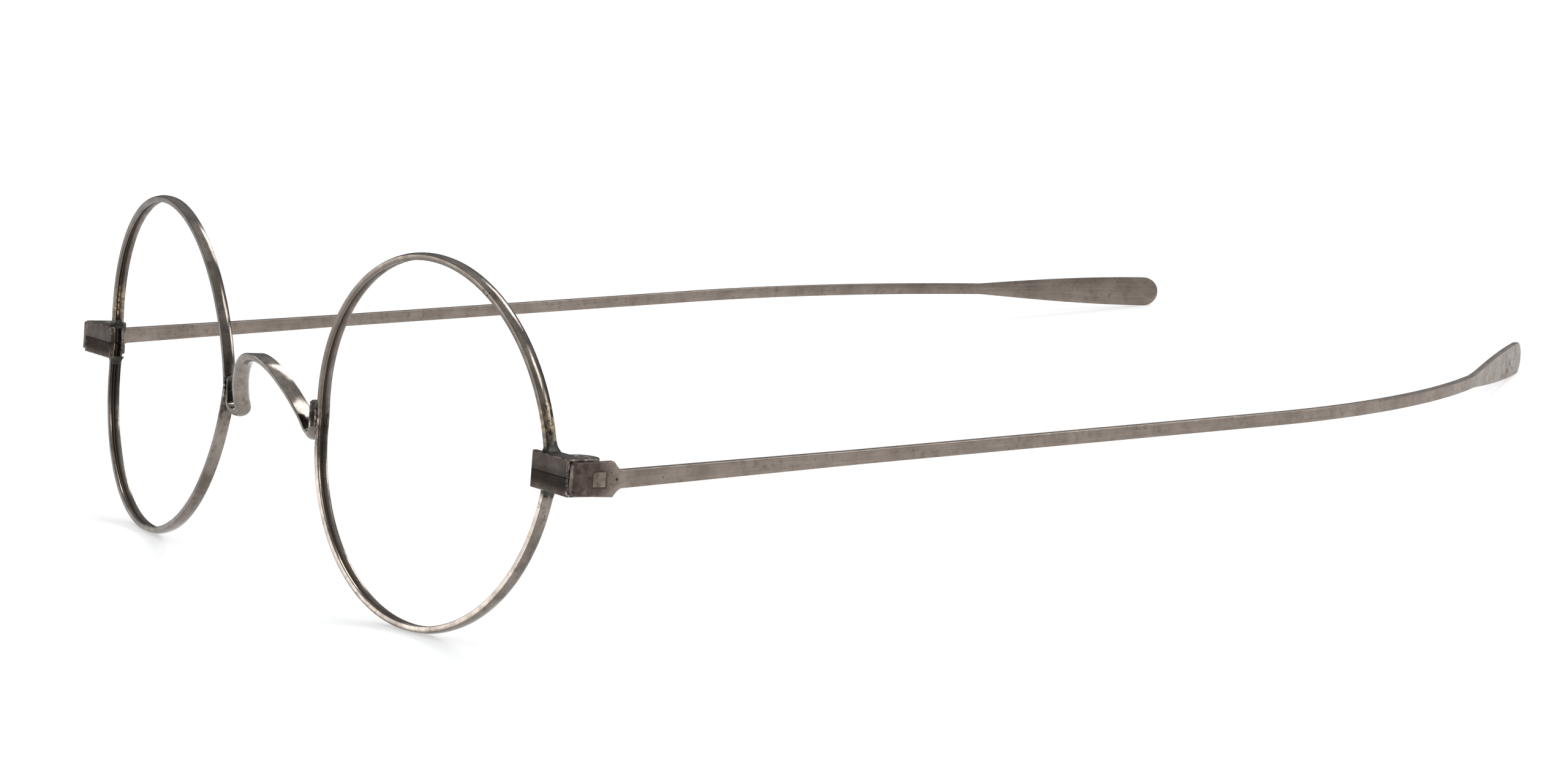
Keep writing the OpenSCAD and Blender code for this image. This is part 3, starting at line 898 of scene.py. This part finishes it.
@once
def arm_steel():
    """Side arms: a brushed matte brown-grey, dark and mottled on the butt plates."""
    m = Metal("arm_steel", pale=(0.33, 0.278, 0.238), dark=(0.25, 0.206, 0.174),
              roughness=(0.30, 0.46), seed=8.0, texture=0.6)
    m.streaks(0.3)
    plate = m.near((ARM_X + ARM_T / 2, BUTT_Y + 1.0, SEAM_Z), 1.6, 4.6)
    m.layer(m.both(plate, m.blotches(0.7, 0.12, 0.5)), PLATE_BROWN, rough=0.42)
    m.layer(m.both(m.both(plate, 0.85), m.blotches(1.3, 0.44, 0.66)), DIRT_AND_SHADE, rough=0.5, sink=0.3)
    m.layer(m.both(m.both(plate, 0.6), m.blotches(1.9, 0.58, 0.7)), TARNISH_AND_SHADE, rough=0.3)
    # Bright outer top edge: wear, and a painted highlight along it
    m.layer(m.both(m.both(m.stored("wear_and_highlight"), 0.7), m.blotches(0.7, 0.52, 0.66)), BRIGHT, rough=0.3)
    # Dirt in the tenon's joint, and painted shade round it
    m.layer(m.both(m.tenon_outline(), m.blotches(1.1, 0.3, 0.62)), DIRT_AND_SHADE, rough=0.6, sink=1.0)
    m.layer(m.both(m.near(arm_surface(PADDLE_STAIN_S, -0.3), 0.8, 3.6, both_sides=False),
                   m.blotches(0.9, 0.48, 0.62)), RUST, rough=0.5)
    m.pits(m.near(arm_surface(PADDLE_STAIN_S + 2.5, -0.5), 1.0, 3.5, both_sides=False),
           size=0.2, spacing=0.75)
    m.pits(m.near(arm_surface(BUTT_L - 0.1, 0.4), 0.4, 1.1),
           size=0.28, spacing=0.55)
    m.pits(m.both(m.blotches(0.3, 0.56, 0.62), 0.8),
           size=0.11, spacing=0.7)
    return m.finish()


@once
def end_steel():
    """End pieces: dark brown scale, with bright edges that are part wear and part painted highlight, and a rough
    outer end.
    """
    m = Metal("end_steel", pale=(0.115, 0.086, 0.069), dark=(0.062, 0.047, 0.039),
              roughness=(0.34, 0.52), seed=11.0, texture=0.7)
    m.layer(m.both(m.blotches(1.0, 0.42, 0.66), 0.8), DIRT_AND_SHADE, rough=0.5)
    m.layer(m.both(m.near((HINGE_SIDE_X, HINGE_SIDE_Y, END_TOP_Z), 0.9, 1.9),
                   m.blotches(1.4, 0.25, 0.5)), SOOT_AND_SHADE, rough=0.45)
    m.layer(m.both(m.outer_end(), m.blotches(2.4, 0.5, 0.6)), BRIGHT, rough=0.34, sink=-1.5)
    # Bright rounded edges: wear, and a painted highlight along them
    m.layer(m.both(m.stored("wear_and_highlight"), m.blotches(1.5, 0.47, 0.64)), BRIGHT, rough=0.32)
    return m.finish()


@once
def screw_steel():
    """Hinge screws: grey steel with dirt on it."""
    m = Metal("screw_steel", pale=(0.36, 0.32, 0.29), dark=(0.22, 0.19, 0.17),
              roughness=(0.26, 0.42), seed=14.0)
    m.layer(m.blotches(1.6, 0.5, 0.7), DIRT_AND_SHADE, rough=0.5)
    return m.finish()


@once
def knuckle_steel():
    """Knuckles: the filed tenon end is a little lighter than the plate around it."""
    m = Metal("knuckle_steel", pale=(0.27, 0.225, 0.19), dark=(0.17, 0.137, 0.115),
              roughness=(0.34, 0.5), seed=17.0)
    m.layer(m.blotches(1.2, 0.54, 0.7), DIRT_AND_SHADE, rough=0.5)
    return m.finish()


@once
def braze_metal():
    """Braze at the bridge's feet: small bright yellow-grey runs."""
    m = Metal("braze_metal", pale=(0.50, 0.44, 0.34), dark=(0.26, 0.23, 0.19),
              roughness=(0.2, 0.4), seed=20.0)
    m.layer(m.blotches(1.5, 0.45, 0.65), SOOT_AND_SHADE, rough=0.5)
    return m.finish()


@once
def solder_metal():
    """Solder at the end pieces: a dark greenish grey."""
    m = Metal("solder_metal", pale=(0.085, 0.085, 0.07), dark=(0.04, 0.042, 0.035),
              roughness=(0.32, 0.5), seed=23.0)
    return m.finish()


@once
def packed_dirt():
    """Dull dirt in the seams of the end pieces."""
    m = Metal("packed_dirt", pale=DIRT_AND_SHADE, dark=tuple(0.6 * v for v in DIRT_AND_SHADE),
              roughness=(0.7, 0.9), seed=26.0)
    return m.finish()


# Camera, light and floor

def make_camera():
    """Camera at the place and angles that were fitted to the photograph."""
    data = bpy.data.cameras.new("camera")
    camera = add_object("camera", data)
    yaw, pitch, roll = CAMERA_YAW, CAMERA_PITCH, CAMERA_ROLL
    ahead = Vector((-math.sin(yaw) * math.cos(pitch), math.cos(yaw) * math.cos(pitch), -math.sin(pitch)))
    level = Vector((math.cos(yaw), math.sin(yaw), 0))
    below = ahead.cross(level)
    right = level * math.cos(roll) + below * math.sin(roll)
    down = below * math.cos(roll) - level * math.sin(roll)
    turn = Matrix((right, -down, -ahead)).transposed()
    place = CAMERA_PLACE - Vector((0, MIDDLE_Y, 0))
    camera.matrix_world = Matrix.Translation(place * MM) @ turn.to_4x4()
    data.sensor_width = SENSOR_MM
    data.lens = CAMERA_FOCAL_PX * SENSOR_MM / IMAGE_W_PX
    data.clip_start = 0.01
    data.clip_end = 50
    bpy.context.scene.camera = camera


def make_softbox(name, direction, width, height, brightness):
    """A rectangular lamp one metre from the object, as bright as given in its reflection."""
    data = bpy.data.lights.new(name, "AREA")
    data.shape = "RECTANGLE"
    data.size = width
    data.size_y = height
    data.energy = brightness * math.pi * width * height
    lamp = add_object(name, data)
    lamp.location = Vector(direction).normalized()
    lamp.rotation_euler = (-lamp.location).to_track_quat("-Z", "Y").to_euler()


def make_light():
    """Soft boxes round the object in a room that is dark at eye level and paler above."""
    world = bpy.data.worlds.new("studio")
    world.use_nodes = True
    tree = world.node_tree
    background = tree.nodes["Background"]
    coords = tree.nodes.new("ShaderNodeTexCoord")
    parts = tree.nodes.new("ShaderNodeSeparateXYZ")
    ramp = tree.nodes.new("ShaderNodeValToRGB")
    tree.links.new(coords.outputs["Generated"], parts.inputs["Vector"])
    tree.links.new(parts.outputs["Z"], ramp.inputs["Fac"])
    tree.links.new(ramp.outputs["Color"], background.inputs["Color"])
    set_stops(ramp.color_ramp, ROOM_STOPS, ROOM_TINT)
    background.inputs["Strength"].default_value = 1.0
    bpy.context.scene.world = world
    make_softbox("softbox_above", (-0.22, 0.70, 0.68), 0.42, 0.36, 4.6)
    make_softbox("softbox_right", (0.585, 0.56, 0.60), 0.3, 0.3, 5.0)
    make_softbox("softbox_side", (0.64, 0.73, 0.24), 0.24, 0.26, 4.5)
    make_softbox("softbox_low", (-0.64, -0.77, 0.10), 0.4, 0.22, 4.0)


def make_floor():
    """Pale floor that renders white and keeps the soft shadow."""
    half = 4.0
    corners = [(-half, -half, 0), (half, -half, 0), (half, half, 0), (-half, half, 0)]
    mesh = bpy.data.meshes.new("floor")
    mesh.from_pydata(corners, [], [(0, 1, 2, 3)])
    floor = add_object("floor", mesh)
    s = Shader("white_floor")
    s.surface.inputs["Base Color"].default_value = (FLOOR_GREY, FLOOR_GREY, FLOOR_GREY, 1)
    s.surface.inputs["Roughness"].default_value = 1.0
    s.surface.inputs["Specular IOR Level"].default_value = 0.0
    path = s.add("ShaderNodeLightPath")
    seen = s.math("MAXIMUM", 0.0)
    s.join(path, "Is Camera Ray", seen, 0)
    s.join(path, "Is Glossy Ray", seen, 1)
    also = s.math("MAXIMUM", seen)
    s.join(path, "Is Transmission Ray", also, 1)
    s.surface.inputs["Emission Color"].default_value = (1, 1, 1, 1)
    s.feed(s.both(also, FLOOR_GLOW), s.surface.inputs["Emission Strength"])
    mesh.materials.append(s.material)


make_camera()
make_light()
make_floor()
make_bridge()
for side_name, side in SIDES.items():
    make_rim(side_name + "_rim", side)
    make_temple(side_name + "_temple", side, side_name + "_arm")
    make_hinge(side_name)
    make_solder(side_name, side)
    make_seam_dirt(side_name, side)
    make_braze(side_name, side)

bpy.context.scene.view_settings.view_transform = "Standard"
